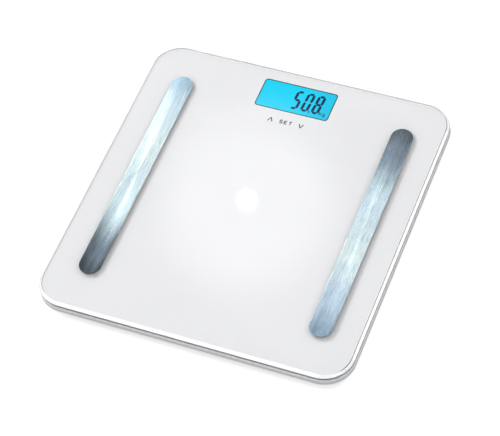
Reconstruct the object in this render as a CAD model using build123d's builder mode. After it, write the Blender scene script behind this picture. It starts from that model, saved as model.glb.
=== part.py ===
from build123d import *
import math
import os

os.makedirs("parts", exist_ok=True)

# Digital bathroom scale. Millimetres, +Z up, +Y toward the display edge, origin on the floor
# below the middle of the platform.

# ---------------------------------------------------------------- overall sizes
BASE_W = 300.0            # outer width of the base, X
BASE_D = 314.0            # outer depth of the base, Y
BASE_R = 28.0             # outer corner radius of the base
GLASS_T = 4.0             # glass thickness
GLASS_INSET = 0.6         # the glass edge lies this far inside the base outline
BEVEL_W = 3.1             # width of the polished upper bevel
BEVEL_H = 1.5             # drop of the polished upper bevel
ARRIS = 1.0               # lower arris of the glass
PRINT_T = 0.15            # screen print on the back of the glass
PRINT_INSET = 1.3         # print edge inside the glass edge
TAPE_T = 0.8              # double-sided foam tape
TAPE_W = 6.0
TAPE_GAP = 0.3            # between the edge of the print and the tape

# ---------------------------------------------------------------- heights set by the battery cells
UNDER_Z = 4.5             # flat underside above the floor
DOOR_T = 2.0              # battery door
CELL_R = 5.15             # AAA cell
CELL_L = 44.5
CELL_OVER_DOOR = 0.4
CELL_FIT = 0.1            # between a cell and the roof of its bay
BAY_ROOF_T = 0.75
BAY_MIDDLE_Z = UNDER_Z + DOOR_T + CELL_OVER_DOOR + CELL_R
BAY_TOP_Z = BAY_MIDDLE_Z + CELL_R + CELL_FIT
SEAT_Z = BAY_TOP_Z + BAY_ROOF_T   # top of the ribs that the tape is stuck to
PRINT_Z = SEAT_Z + TAPE_T
GLASS_Z = PRINT_Z + PRINT_T
TOP_Z = GLASS_Z + GLASS_T         # upper face of the glass above the floor

# ---------------------------------------------------------------- base tray
SLOPE_H = 8.0             # height of the sloping lower side
WALL_FOOT_Z = UNDER_Z + SLOPE_H   # lower end of the upright side wall
SLOPE_IN = 12.0           # how far the underside slopes inward
FLOOR_T = 1.8
WALL_T = 2.6
RIM_H = 0.55              # rim standing outside the tape
RIM_T = 1.3
INNER_WALL_IN = 7.0       # second wall, inside the outline
INNER_WALL_T = 1.4
RIB_T = 1.4
RIB_PITCH = 27.0
MIDDLE_RIB_X = 20.0
MIDDLE_RIB_Y = 4.0
FLOOR_Z = UNDER_Z + FLOOR_T
WIRE_WAY_H = 4.4          # height of the ways cut in the ribs for the wires
SLOPE = math.degrees(math.atan(SLOPE_IN / SLOPE_H))

# ---------------------------------------------------------------- display and keys
WINDOW_W = 73.5
WINDOW_H = 33.5
WINDOW_R = 3.2
WINDOW_FROM_BACK = 13.85
WINDOW_Y = BASE_D / 2 - WINDOW_FROM_BACK - WINDOW_H / 2
BORDER_T = 0.95
DIGIT_H = 22.7
DIGIT_W = 8.0
DIGIT_PITCH = DIGIT_W + 2.6
SEGMENT_T = 2.6
SEGMENT_GAP = 0.35
DIGIT_SLANT = 4.0
SEGMENT_LAYER = 0.1
KEY_FROM_WINDOW = 12.25
KEY_Y = WINDOW_Y - WINDOW_H / 2 - KEY_FROM_WINDOW
KEY_PITCH = 15.2
KEY_LETTER_W = 3.5
KEY_LETTER_H = 4.6
KEY_LETTER_GAP = 1.1
KEY_STROKE = 0.95
ARROW_W = 4.4
ARROW_H = 4.6
UNIT_IN = 7.55            # unit mark from the right edge of the window
UNIT_X = WINDOW_W / 2 - UNIT_IN
DIGITS_FROM_UNIT = 28.1
DIGIT_X = UNIT_X - DIGITS_FROM_UNIT   # middle of the first digit
UNIT_DROP = 9.4           # below the middle of the window
UNIT_STROKE = 0.6

# ---------------------------------------------------------------- electrodes
STRIP_W = 21.0
STRIP_END_IN = 38.0       # strip ends from the outline
STRIP_L = BASE_D - 2 * STRIP_END_IN
STRIP_T = 0.6
STRIP_IN = 39.5           # middle of a strip from the side of the base
STRIP_X = BASE_W / 2 - STRIP_IN
STRIP_Y = 1.3
STUD_R = 2.0
STUD_HOLE_R = STUD_R + 0.8
STUD_REACH = 4.45         # stud below the seat of the tape
STUD_END_Z = SEAT_Z - STUD_REACH
WASHER_T = 0.8
TERMINAL_T = 0.5
NUT_T = 2.6
NUT_R = STUD_R + 1.9

# ---------------------------------------------------------------- feet and load cells
FOOT_IN = 46.0            # middle of a foot from both sides of the base
FOOT_X = BASE_W / 2 - FOOT_IN
FOOT_Y = BASE_D / 2 - FOOT_IN
FOOT_R = 21.0
FOOT_GAP = 0.5            # between the foot and its hole in the base
FOOT_LIP = 1.6
FOOT_TRAVEL = 0.6         # how far a foot hangs down when the scale is lifted
PAD_R = FOOT_R - 4.0
PAD_T = 2.0
PAD_RECESS = 1.0
CAP_WALL = 2.0
LIP_T = 1.0
WELL_T = 6.5              # wall of the well round a foot
BODY_GAP = 0.3            # least gap between bodies that move against each other
STOP_GAP = 0.05           # left between two stops at the end of a travel
CELL = 34.0               # load cell, square
CELL_T = 1.5
CELL_OVER_FLOOR = 4.2
CELL_Z = FLOOR_Z + CELL_OVER_FLOOR
CAP_TOP_Z = CELL_Z - 1.5
CARRIER = max(CELL + 10.0, 2 * FOOT_R + 2.0)
CARRIER_Z = CELL_Z + CELL_T
CARRIER_T = 2.0
CARRIER_SCREW = CARRIER / 2 - 3.0     # screw positions from the middle of the carrier
STUD_FROM_CARRIER = 27.0
STUD_Y = FOOT_Y - CARRIER / 2 - STUD_FROM_CARRIER   # studs from the middle of the strip
CORNERS = {"front_left": (-1, -1), "front_right": (1, -1), "back_left": (-1, 1), "back_right": (1, 1)}

# ---------------------------------------------------------------- electronics
LCD_W = WINDOW_W + 5.5
LCD_D = WINDOW_H + 4.5
LCD_T = 2.8
LCD_GAP = 0.35            # between the print and the display glass
LCD_TOP_Z = PRINT_Z - LCD_GAP
PCB_W = LCD_W + 21.0
PCB_D = 60.0
PCB_T = 1.6
PCB_OVER_FLOOR = 4.9
PCB_Z = FLOOR_Z + PCB_OVER_FLOOR
PCB_FROM_BACK = 15.0
PCB_Y = BASE_D / 2 - PCB_FROM_BACK - PCB_D / 2
PCB_FRONT = PCB_Y - PCB_D / 2
PCB_SCREW_X = PCB_W / 2 - 5.0
PCB_SCREW_Y = PCB_D / 2 - 4.0
PCB_TOP = PCB_Z + PCB_T
BACKLIGHT_GAP = 0.6       # between the light guide and the board
BACKLIGHT_T = LCD_TOP_Z - LCD_T - PCB_TOP - BACKLIGHT_GAP
PIN_LEDGE = 3.0           # front strip of the display glass that the pins meet
LCD_FRAME_T = 1.5
BUTTON_X = -30.0
BUTTON_Y = PCB_FRONT + 8.0
BUTTON_R = 4.0
BUTTON_TRAVEL = 0.8
WIRE_R = 0.6
WIRE_PITCH = 1.6
WIRE_Z = FLOOR_Z + 2.3
WIRE_BEND = 1.9
LANE_X = FOOT_X - 34.0    # lane of the front load-cell wires
STRIP_LANE_X = FOOT_X - 28.0          # lane of the electrode wires
PLUG_Z = PCB_TOP + 1.6    # height at which wires enter the plugs
PLUG_X = PCB_W / 2 - 1.0  # outer face of the plugs
RISE_X = PCB_W / 2 + 4.5  # where wires rise beside the board
FRONT_PLUG_Y = PCB_FRONT + 10.0
STRIP_PLUG_Y = PCB_FRONT + 19.0

# ---------------------------------------------------------------- screws
SCREW_R = 0.9
SCREW_HEAD_R = 2.2
SCREW_FIT = 0.05
SCREW_HEAD_T = 1.3
BOARD_SCREW_L = 5.4
CARRIER_SCREW_L = 6.6

# ---------------------------------------------------------------- battery bay
CELL_PITCH = 2 * CELL_R + 0.6
BAY_Y = 30.0
BAY_L = CELL_L + 4.5
BAY_W = 2 * CELL_PITCH + 0.4
BAY_WALL = 1.5
BATTERY_PLUG_X = BAY_L / 2 + 7.7
TAB_OUT = 2.4             # solder tab of a contact beyond the wall of the bay
DOOR_W = BAY_L + 5.0
DOOR_REAR = BAY_Y - BAY_W / 2 - 2.4
DOOR_FRONT = BAY_Y + BAY_W / 2 + 2.9
DOOR_GAP = 0.45
HINGE_PIN_R = 0.7
HINGE_FIT = 0.06
HINGE_PIN_L = 2.4
HINGE_Y = DOOR_REAR + DOOR_T / 2
HINGE_Z = UNDER_Z + DOOR_T / 2
SHOULDER_Z = UNDER_Z + DOOR_T + 0.3

# ---------------------------------------------------------------- rating label
LABEL_W = 70.0
LABEL_D = 38.0
LABEL_Y = -40.0
LABEL_FIT = 0.3
LABEL_RECESS = 0.3
LABEL_T = 0.2


def finish(part, name):
    part.label = name
    export_step(part, f"parts/{name}.step")


def slab(width, depth, corner, z_low, z_high, x=0.0, y=0.0):
    with BuildPart() as plate:
        with BuildSketch(Plane.XY.offset(z_low)):
            with Locations((x, y)):
                RectangleRounded(width, depth, corner)
        extrude(amount=z_high - z_low)
    return plate.part


def outline(inset, z_low, z_high):
    return slab(BASE_W - 2 * inset, BASE_D - 2 * inset, BASE_R - inset, z_low, z_high)


def block(x_low, x_high, y_low, y_high, z_low, z_high):
    with BuildPart() as body:
        with Locations(((x_low + x_high) / 2, (y_low + y_high) / 2, (z_low + z_high) / 2)):
            Box(x_high - x_low, y_high - y_low, z_high - z_low)
    return body.part


def drum(x, y, radius, z_low, z_high):
    with BuildPart() as body:
        with Locations((x, y, (z_low + z_high) / 2)):
            Cylinder(radius, z_high - z_low)
    return body.part


def stud_places():
    return [(side * STRIP_X, STRIP_Y + end * STUD_Y) for side in (-1, 1) for end in (-1, 1)]


def foot_places():
    return [(sx * FOOT_X, sy * FOOT_Y) for sx, sy in CORNERS.values()]


# ---------------------------------------------------------------- glass and prints
def glass_outline(inset, z_low, z_high, taper=0.0):
    with BuildPart() as body:
        with BuildSketch(Plane.XY.offset(z_low)):
            cut = GLASS_INSET + inset
            RectangleRounded(BASE_W - 2 * cut, BASE_D - 2 * cut, BASE_R - cut)
        extrude(amount=z_high - z_low, taper=taper)
    return body.part


def glass_platform():
    side_low = GLASS_Z + ARRIS
    side_high = TOP_Z - BEVEL_H
    bevel_angle = math.degrees(math.atan(BEVEL_W / BEVEL_H))
    with BuildPart() as body:
        add(glass_outline(0, side_low, side_high))
        add(glass_outline(0, side_high, TOP_Z, bevel_angle))
        with BuildSketch(Plane.XY.offset(side_low)):
            cut = GLASS_INSET
            RectangleRounded(BASE_W - 2 * cut, BASE_D - 2 * cut, BASE_R - cut)
        extrude(amount=-ARRIS, taper=45)
        side_ring = body.edges().filter_by_position(Axis.Z, side_high - 0.01, side_high + 0.01)
        fillet(side_ring, 0.9)
        for x, y in stud_places():
            with Locations((x, y, GLASS_Z + GLASS_T / 2)):
                Hole(STUD_HOLE_R, GLASS_T)
    return body.part


def band(points, width):
    # a chain of points with rounded corners, as a flat band of constant width
    with BuildSketch() as flat:
        with BuildLine():
            if len(points) == 2:
                Line(*points)
            else:
                FilletPolyline(*points, radius=width * 0.95)
        trace(line_width=width)
    return flat.sketch


def strokes(chains, x, y, width):
    with BuildSketch() as flat:
        for chain in chains:
            add(band([(x + px, y + py) for px, py in chain], width))
    return flat.sketch


def letter_chains(name, half_w, half_h):
    chains = {
        "S": [[(half_w, half_h), (-half_w, half_h), (-half_w, 0), (half_w, 0), (half_w, -half_h),
               (-half_w, -half_h)]],
        "E": [[(half_w, half_h), (-half_w, half_h), (-half_w, -half_h), (half_w, -half_h)],
              [(-half_w, 0), (half_w * 0.8, 0)]],
        "T": [[(-half_w, half_h), (half_w, half_h)], [(0, half_h), (0, -half_h)]],
        "k": [[(-half_w, half_h), (-half_w, -half_h)], [(-half_w, -half_h * 0.25), (half_w, half_h * 0.3)],
              [(-half_w * 0.2, -half_h * 0.05), (half_w, -half_h)]],
        "g": [[(half_w, half_h * 0.3), (-half_w, half_h * 0.3), (-half_w, -half_h), (half_w, -half_h)],
              [(half_w, half_h * 0.3 + UNIT_STROKE / 2), (half_w, -half_h * 1.7), (-half_w, -half_h * 1.7)]],
    }
    return chains[name]


def letters(z_low, z_high):
    step = KEY_LETTER_W + KEY_LETTER_GAP
    half_w = (KEY_LETTER_W - KEY_STROKE) / 2
    half_h = (KEY_LETTER_H - KEY_STROKE) / 2
    with BuildPart() as marks:
        with BuildSketch(Plane.XY.offset(z_low)):
            for n, name in enumerate("SET"):
                add(strokes(letter_chains(name, half_w, half_h), (n - 1) * step, KEY_Y, KEY_STROKE))
            for side, up in ((-1, 1), (1, -1)):
                x = side * KEY_PITCH
                for leg in (-1, 1):
                    end = [(leg * ARROW_W / 2, -up * ARROW_H / 2), (0, up * ARROW_H / 2)]
                    add(strokes([end], x, KEY_Y, KEY_STROKE))
        extrude(amount=z_high - z_low)
    return marks.part


def glass_back_print():
    with BuildPart() as layer:
        add(glass_outline(PRINT_INSET, PRINT_Z, GLASS_Z))
        add(slab(WINDOW_W, WINDOW_H, WINDOW_R, PRINT_Z - 1, GLASS_Z + 1, 0, WINDOW_Y), mode=Mode.SUBTRACT)
        add(letters(PRINT_Z - 1, GLASS_Z + 1), mode=Mode.SUBTRACT)
        for x, y in stud_places():
            add(drum(x, y, STUD_HOLE_R, PRINT_Z - 1, GLASS_Z + 1), mode=Mode.SUBTRACT)
    return layer.part


def display_border():
    inner_w = WINDOW_W - 2 * BORDER_T
    inner_h = WINDOW_H - 2 * BORDER_T
    inner_r = WINDOW_R - BORDER_T
    with BuildPart() as ring:
        add(slab(WINDOW_W, WINDOW_H, WINDOW_R, PRINT_Z, GLASS_Z, 0, WINDOW_Y))
        add(slab(inner_w, inner_h, inner_r, PRINT_Z - 1, GLASS_Z + 1, 0, WINDOW_Y), mode=Mode.SUBTRACT)
    return ring.part


def mounting_tape():
    outer = GLASS_INSET + PRINT_INSET + TAPE_GAP
    with BuildPart() as ring:
        add(outline(outer, SEAT_Z, PRINT_Z))
        add(outline(outer + TAPE_W, SEAT_Z - 1, PRINT_Z + 1), mode=Mode.SUBTRACT)
    return ring.part


# ---------------------------------------------------------------- electrodes
def electrode(side):
    x = side * STRIP_X
    with BuildPart() as strip:
        with BuildSketch(Plane.XY.offset(TOP_Z)):
            with Locations((x, STRIP_Y)):
                SlotOverall(STRIP_L, STRIP_W, rotation=90)
        extrude(amount=STRIP_T)
        fillet(strip.edges().group_by(Axis.Z)[-1], 0.4)
        for end in (-1, 1):
            y = STRIP_Y + end * STUD_Y
            with Locations((x, y, (TOP_Z + STUD_END_Z) / 2)):
                Cylinder(STUD_R, TOP_Z - STUD_END_Z)
        chamfer(strip.edges().group_by(Axis.Z)[0], 0.4)
    return strip.part


def electrode_washers():
    with BuildPart() as washers:
        for x, y in stud_places():
            with BuildSketch(Plane.XY.offset(PRINT_Z - WASHER_T)):
                with Locations((x, y)):
                    Circle(STUD_HOLE_R + 2.2)
                    Circle(STUD_R + 0.1, mode=Mode.SUBTRACT)
            extrude(amount=WASHER_T)
    return washers.part


def ring_terminals():
    top = PRINT_Z - WASHER_T
    with BuildPart() as rings:
        for side in (-1, 1):
            x = side * STRIP_X
            y = STRIP_Y + STUD_Y
            with BuildSketch(Plane.XY.offset(top - TERMINAL_T)):
                with Locations((x, y)):
                    Circle(STUD_R + 1.8)
                with Locations((x - side * 5.5, y)):
                    Rectangle(5.0, 2.2)
                with Locations((x, y)):
                    Circle(STUD_R + 0.1, mode=Mode.SUBTRACT)
            extrude(amount=TERMINAL_T)
            with Locations((x - side * 9.5, y, top - TERMINAL_T / 2)):
                Box(4.0, 2.2, TERMINAL_T)
    return rings.part


def electrode_nuts():
    with BuildPart() as nuts:
        for x, y in stud_places():
            wired = y > STRIP_Y
            top = PRINT_Z - WASHER_T - (TERMINAL_T if wired else 0.0)
            with BuildSketch(Plane.XY.offset(top - NUT_T)):
                with Locations((x, y)):
                    RegularPolygon(NUT_R, 6)
                    Circle(STUD_R + 0.04, mode=Mode.SUBTRACT)
            extrude(amount=NUT_T)
    return nuts.part


# ---------------------------------------------------------------- base tray
def wire_ways():
    low = FLOOR_Z
    high = FLOOR_Z + WIRE_WAY_H
    stud = STRIP_Y + STUD_Y
    with BuildPart() as ways:
        for side in (-1, 1):
            for x_in, x_out, y_low, y_high in (
                (LANE_X - 4, LANE_X + 9, -FOOT_Y - 3.5, STRIP_PLUG_Y + 3),
                (PCB_W / 2, FOOT_X - 12, FOOT_Y - 4, FOOT_Y + 4),
                (PCB_W / 2, LANE_X + 9, FRONT_PLUG_Y - 4, STRIP_PLUG_Y + 4),
                (LANE_X - 4, FOOT_X - 12, -FOOT_Y - 4, -FOOT_Y + 4),
                (LANE_X - 4, STRIP_X - 10.5, stud - 2.5, stud + 2.5),
            ):
                x_low = min(side * x_in, side * x_out)
                x_high = max(side * x_in, side * x_out)
                add(block(x_low, x_high, y_low, y_high, low, high))
        plug = BATTERY_PLUG_X
        add(block(plug - 5.2, plug + 4.8, BAY_Y - 10, PCB_FRONT + 2, low, high + 5))
    return ways.part


def floor_ribs():
    low = FLOOR_Z - 0.5
    inner_x = BASE_W / 2 - INNER_WALL_IN - 0.5
    inner_y = BASE_D / 2 - INNER_WALL_IN - 0.5
    with BuildPart() as ribs:
        for side in (-1, 1):
            beside_board = side * (PCB_W / 2 + 10)
            add(block(beside_board - RIB_T / 2, beside_board + RIB_T / 2, -inner_y, inner_y, low, SEAT_Z))
            middle = side * MIDDLE_RIB_X
            add(block(middle - RIB_T / 2, middle + RIB_T / 2, -inner_y, BAY_Y - BAY_W / 2 - 0.9, low, SEAT_Z))
        between_feet = FOOT_X - 30
        front_y = -BASE_D / 2 + 31
        add(block(-between_feet, between_feet, front_y - RIB_T / 2, front_y + RIB_T / 2, low, SEAT_Z))
        for y in (-FOOT_Y + CARRIER / 2 + 11, -STUD_Y + 24, MIDDLE_RIB_Y, PCB_FRONT - 6):
            add(block(-inner_x, inner_x, y - RIB_T / 2, y + RIB_T / 2, low, SEAT_Z))
        add(wire_ways(), mode=Mode.SUBTRACT)
    return ribs.part


def rim_ribs():
    wall = BASE_W / 2
    back = BASE_D / 2
    count_x = int((BASE_W - 2 * BASE_R) / RIB_PITCH)
    count_y = int((BASE_D - 2 * BASE_R) / RIB_PITCH)
    with BuildPart() as ribs:
        for n in range(count_x + 1):
            x = (n - count_x / 2) * RIB_PITCH
            for side in (-1, 1):
                y_low = min(side * (back - 1.5), side * (back - INNER_WALL_IN - 0.5))
                y_high = max(side * (back - 1.5), side * (back - INNER_WALL_IN - 0.5))
                add(block(x - RIB_T / 2, x + RIB_T / 2, y_low, y_high, WALL_FOOT_Z - 4, SEAT_Z))
        for n in range(count_y + 1):
            y = (n - count_y / 2) * RIB_PITCH
            for side in (-1, 1):
                x_low = min(side * (wall - 1.5), side * (wall - INNER_WALL_IN - 0.5))
                x_high = max(side * (wall - 1.5), side * (wall - INNER_WALL_IN - 0.5))
                add(block(x_low, x_high, y - RIB_T / 2, y + RIB_T / 2, WALL_FOOT_Z - 4, SEAT_Z))
    return ribs.part


def tray_shell():
    with BuildPart() as shell:
        add(outline(0, WALL_FOOT_Z, SEAT_Z + RIM_H))
        with BuildSketch(Plane.XY.offset(WALL_FOOT_Z)):
            RectangleRounded(BASE_W, BASE_D, BASE_R)
        extrude(amount=UNDER_Z - WALL_FOOT_Z, taper=SLOPE)
        low_edges = shell.edges().group_by(Axis.Z)[0]
        turn_edges = shell.edges().filter_by_position(Axis.Z, WALL_FOOT_Z - 0.01, WALL_FOOT_Z + 0.01)
        fillet(turn_edges, 2.2)
        fillet(low_edges, 2.0)
        fillet(shell.edges().group_by(Axis.Z)[-1], 0.5)
        add(outline(RIM_T, SEAT_Z, SEAT_Z + RIM_H + 1), mode=Mode.SUBTRACT)
        with BuildSketch(Plane.XY.offset(WALL_FOOT_Z)):
            RectangleRounded(BASE_W - 2 * WALL_T, BASE_D - 2 * WALL_T, BASE_R - WALL_T)
        extrude(amount=SEAT_Z - WALL_FOOT_Z + 1, mode=Mode.SUBTRACT)
        with BuildSketch(Plane.XY.offset(WALL_FOOT_Z)):
            RectangleRounded(BASE_W - 2 * WALL_T, BASE_D - 2 * WALL_T, BASE_R - WALL_T)
        extrude(amount=FLOOR_Z - WALL_FOOT_Z, taper=SLOPE, mode=Mode.SUBTRACT)
    return shell.part


def inner_wall():
    with BuildPart() as wall:
        add(outline(INNER_WALL_IN, FLOOR_Z - 0.5, SEAT_Z))
        add(outline(INNER_WALL_IN + INNER_WALL_T, FLOOR_Z - 2, SEAT_Z + 1), mode=Mode.SUBTRACT)
    return wall.part


def slope_cutter():
    with BuildPart() as keep:
        add(outline(0.8, WALL_FOOT_Z, SEAT_Z + 2))
        with BuildSketch(Plane.XY.offset(WALL_FOOT_Z)):
            RectangleRounded(BASE_W - 1.6, BASE_D - 1.6, BASE_R - 0.8)
        extrude(amount=UNDER_Z - WALL_FOOT_Z + 0.6, taper=SLOPE)
    return keep.part


def base_housing():
    foot_hole = FOOT_R + FOOT_GAP
    ledge_top = CAP_TOP_Z - LIP_T - FOOT_TRAVEL - STOP_GAP
    with BuildPart() as frame:
        add(inner_wall())
        add(rim_ribs())
        add(floor_ribs())
        add(slope_cutter(), mode=Mode.INTERSECT)
    with BuildPart() as tray:
        add(tray_shell())
        add(frame.part)
        # wells for the feet, with a ledge that keeps each foot in
        for x, y in foot_places():
            half = CARRIER / 2
            add(drum(x, y, foot_hole + WELL_T, FLOOR_Z - 0.5, ledge_top))
            add(block(x - half, x + half, y - half, y + half, FLOOR_Z - 0.5, CELL_Z))
            add(drum(x, y, foot_hole + FOOT_LIP + 0.4, ledge_top, CAP_TOP_Z + 4), mode=Mode.SUBTRACT)
            add(drum(x, y, foot_hole, UNDER_Z - 1, CAP_TOP_Z), mode=Mode.SUBTRACT)
        # battery bay
        low_x = DOOR_W / 2 + DOOR_GAP + 3.4
        add(block(-low_x, low_x, DOOR_REAR - 3, DOOR_FRONT + 3.4, FLOOR_Z - 0.5, SHOULDER_Z + 1.5))
        half_l = BAY_L / 2
        half_w = BAY_W / 2
        out_l = half_l + BAY_WALL
        out_w = half_w + BAY_WALL
        add(block(-out_l, out_l, BAY_Y - out_w, BAY_Y + out_w, FLOOR_Z, SEAT_Z))
        add(block(-8, 8, DOOR_FRONT - 3, DOOR_FRONT + 3.4, FLOOR_Z, SHOULDER_Z + 5))
        half_door = DOOR_W / 2 + DOOR_GAP
        add(block(-half_door, half_door, DOOR_REAR - 0.3, DOOR_FRONT + DOOR_GAP, UNDER_Z - 1, SHOULDER_Z),
            mode=Mode.SUBTRACT)
        add(block(-half_l, half_l, BAY_Y - half_w, BAY_Y + half_w, UNDER_Z, BAY_TOP_Z), mode=Mode.SUBTRACT)
        add(block(-6.6, 6.6, DOOR_FRONT - 1.6, DOOR_FRONT + DOOR_GAP, UNDER_Z, SHOULDER_Z + 3.6),
            mode=Mode.SUBTRACT)
        for side in (-1, 1):
            with Locations((side * (DOOR_W / 2 + HINGE_PIN_L / 2), HINGE_Y, HINGE_Z)):
                Cylinder(HINGE_PIN_R + HINGE_FIT, HINGE_PIN_L + 0.6, rotation=(0, 90, 0), mode=Mode.SUBTRACT)
        # slots for the solder tabs of the two battery contacts
        for end in (-1, 1):
            tab_y = BAY_Y + end * CELL_PITCH / 2
            add(block(half_l - 1, half_l + BAY_WALL + 1, tab_y - 1.6, tab_y + 1.6,
                      BAY_MIDDLE_Z - 0.15, BAY_MIDDLE_Z + 0.45), mode=Mode.SUBTRACT)
        # posts under the circuit board
        for px in (-PCB_SCREW_X, PCB_SCREW_X):
            for py in (PCB_Y - PCB_SCREW_Y, PCB_Y + PCB_SCREW_Y):
                add(drum(px, py, 3.2, FLOOR_Z - 0.5, PCB_Z))
                add(drum(px, py, SCREW_R + SCREW_FIT, FLOOR_Z + 0.6, PCB_Z + 1), mode=Mode.SUBTRACT)
        # pilot holes of the carrier screws
        for x, y in carrier_screw_places():
            add(drum(x, y, SCREW_R + SCREW_FIT, FLOOR_Z + 0.4, CELL_Z + 1), mode=Mode.SUBTRACT)
        # hole of the unit button
        add(drum(BUTTON_X, BUTTON_Y, BUTTON_R + BODY_GAP, UNDER_Z - 1, FLOOR_Z + 1), mode=Mode.SUBTRACT)
        # recess for the rating label, finger scoop beside the battery door
        add(slab(LABEL_W, LABEL_D, 2, UNDER_Z - 1, UNDER_Z + LABEL_RECESS, 0, LABEL_Y), mode=Mode.SUBTRACT)
        with Locations((0, DOOR_FRONT + 5.5, UNDER_Z - 6.6)):
            Sphere(7.6, mode=Mode.SUBTRACT)
    return tray.part


# ---------------------------------------------------------------- feet and load cells
def foot_cap(x, y):
    cap_low = PAD_T - PAD_RECESS
    with BuildPart() as cap:
        add(drum(x, y, FOOT_R, cap_low, CAP_TOP_Z))
        fillet(cap.edges().group_by(Axis.Z)[0], 0.8)
        add(drum(x, y, FOOT_R + FOOT_LIP, CAP_TOP_Z - LIP_T, CAP_TOP_Z))
        add(drum(x, y, FOOT_R - CAP_WALL, cap_low + 2.6, CAP_TOP_Z + 1), mode=Mode.SUBTRACT)
        post_top = CELL_Z - STOP_GAP
        add(drum(x, y, 5.0, cap_low + 2, post_top - 1.2))
        add(drum(x, y, 3.2, cap_low + 2, post_top))
        for angle in range(0, 180, 45):
            with Locations(Location((x, y, cap_low + 4.1), (0, 0, angle))):
                Box(2 * FOOT_R - 2, 1.2, 3.4)
        add(drum(x, y, PAD_R, cap_low - 1, PAD_T), mode=Mode.SUBTRACT)
    return cap.part


def foot_pad(x, y):
    with BuildPart() as pad:
        add(drum(x, y, PAD_R, 0, PAD_T))
        fillet(pad.edges().group_by(Axis.Z)[0], 0.5)
        for radius in (PAD_R - 11.0, PAD_R - 7.0, PAD_R - 3.0):
            with BuildSketch(Plane.XY):
                with Locations((x, y)):
                    Circle(radius + 0.5)
                    Circle(radius - 0.5, mode=Mode.SUBTRACT)
            extrude(amount=0.5, mode=Mode.SUBTRACT)
    return pad.part


def load_cell(x, y, sx):
    with BuildPart() as cell:
        add(slab(CELL, CELL, 3.0, CELL_Z, CELL_Z + CELL_T, x, y))
        # two long slots and the end slot leave a tongue that is free at its middle
        half = CELL / 2
        for side in (-1, 1):
            slot = y + side * (half - 9.5)
            add(block(x - half + 6, x + half - 6, slot - 1.5, slot + 1.5, CELL_Z - 1, CELL_Z + 3),
                mode=Mode.SUBTRACT)
        end = x + sx * (half - 5.5)
        add(block(end - 1.5, end + 1.5, y - half + 8, y + half - 8, CELL_Z - 1, CELL_Z + 3),
            mode=Mode.SUBTRACT)
        for side in (-1, 1):
            hole_y = y + side * (half - 5.0)
            add(drum(x - sx * (half - 3.8), hole_y, 1.6, CELL_Z - 1, CELL_Z + 3), mode=Mode.SUBTRACT)
    return cell.part


def load_cell_carrier(x, y, sx):
    half = CARRIER / 2
    well = CELL / 2 + 0.15
    with BuildPart() as frame:
        add(slab(CARRIER, CARRIER, 4, CELL_Z, CARRIER_Z + CARRIER_T, x, y))
        add(slab(2 * well, 2 * well, 3.1, CELL_Z - 1, CARRIER_Z, x, y), mode=Mode.SUBTRACT)
        add(slab(CELL - 9, CELL - 9, 3, CELL_Z, CARRIER_Z + 3, x, y), mode=Mode.SUBTRACT)
        for ox in (-CARRIER_SCREW, CARRIER_SCREW):
            for oy in (-CARRIER_SCREW, CARRIER_SCREW):
                add(drum(x + ox, y + oy, 1.3, CELL_Z - 1, CARRIER_Z + 3), mode=Mode.SUBTRACT)
        # way out for the three wires toward the middle of the scale
        x_low = min(x - sx * 10, x - sx * (half + 1))
        x_high = max(x - sx * 10, x - sx * (half + 1))
        add(block(x_low, x_high, y - 3.4, y + 3.4, CARRIER_Z, CARRIER_Z + 3), mode=Mode.SUBTRACT)
    return frame.part


def gauge_seals():
    with BuildPart() as seals:
        for sx, sy in CORNERS.values():
            x = sx * FOOT_X - sx * 2
            y = sy * FOOT_Y
            with BuildSketch(Plane.XY.offset(CARRIER_Z)):
                with Locations((x, y)):
                    RectangleRounded(15, 9, 2.5)
            extrude(amount=1.3)
        fillet(seals.edges().group_by(Axis.Z)[-1], 0.6)
    return seals.part


def screws(places, head_z, length, head_r, shank_r):
    with BuildPart() as group:
        for x, y in places:
            add(drum(x, y, head_r, head_z, head_z + SCREW_HEAD_T))
            add(drum(x, y, shank_r, head_z - length, head_z))
        fillet(group.edges().group_by(Axis.Z)[-1], 0.5)
        for x, y in places:
            for angle in (0, 90):
                with Locations(Location((x, y, head_z + SCREW_HEAD_T - 0.2), (0, 0, angle))):
                    Box(2 * head_r * 0.6, 0.6, 1.0, mode=Mode.SUBTRACT)
    return group.part


def carrier_screw_places():
    return [(x + ox, y + oy) for x, y in foot_places()
            for ox in (-CARRIER_SCREW, CARRIER_SCREW) for oy in (-CARRIER_SCREW, CARRIER_SCREW)]


# ---------------------------------------------------------------- circuit board
def board_screw_places():
    return [(px, py) for px in (-PCB_SCREW_X, PCB_SCREW_X)
            for py in (PCB_Y - PCB_SCREW_Y, PCB_Y + PCB_SCREW_Y)]


def main_pcb():
    with BuildPart() as board:
        add(slab(PCB_W, PCB_D, 2, PCB_Z, PCB_TOP, 0, PCB_Y))
        for x, y in board_screw_places():
            add(drum(x, y, 1.2, PCB_Z - 1, PCB_TOP + 1), mode=Mode.SUBTRACT)
    return board.part


def control_chip():
    with BuildPart() as chip:
        with BuildSketch(Plane.XY.offset(PCB_Z - 2.0)):
            with Locations((22, PCB_Y + 4)):
                Rectangle(10, 10)
        extrude(amount=1.7)
        chamfer(chip.edges().group_by(Axis.Z)[0], 0.3)
        for n in range(8):
            offset = (n - 3.5) * 1.1
            for side in (-1, 1):
                with Locations((22 + side * 5.5, PCB_Y + 4 + offset, PCB_Z - 0.4)):
                    Box(1.4, 0.4, 0.8)
                with Locations((22 + offset, PCB_Y + 4 + side * 5.5, PCB_Z - 0.4)):
                    Box(0.4, 1.4, 0.8)
    return chip.part


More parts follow.
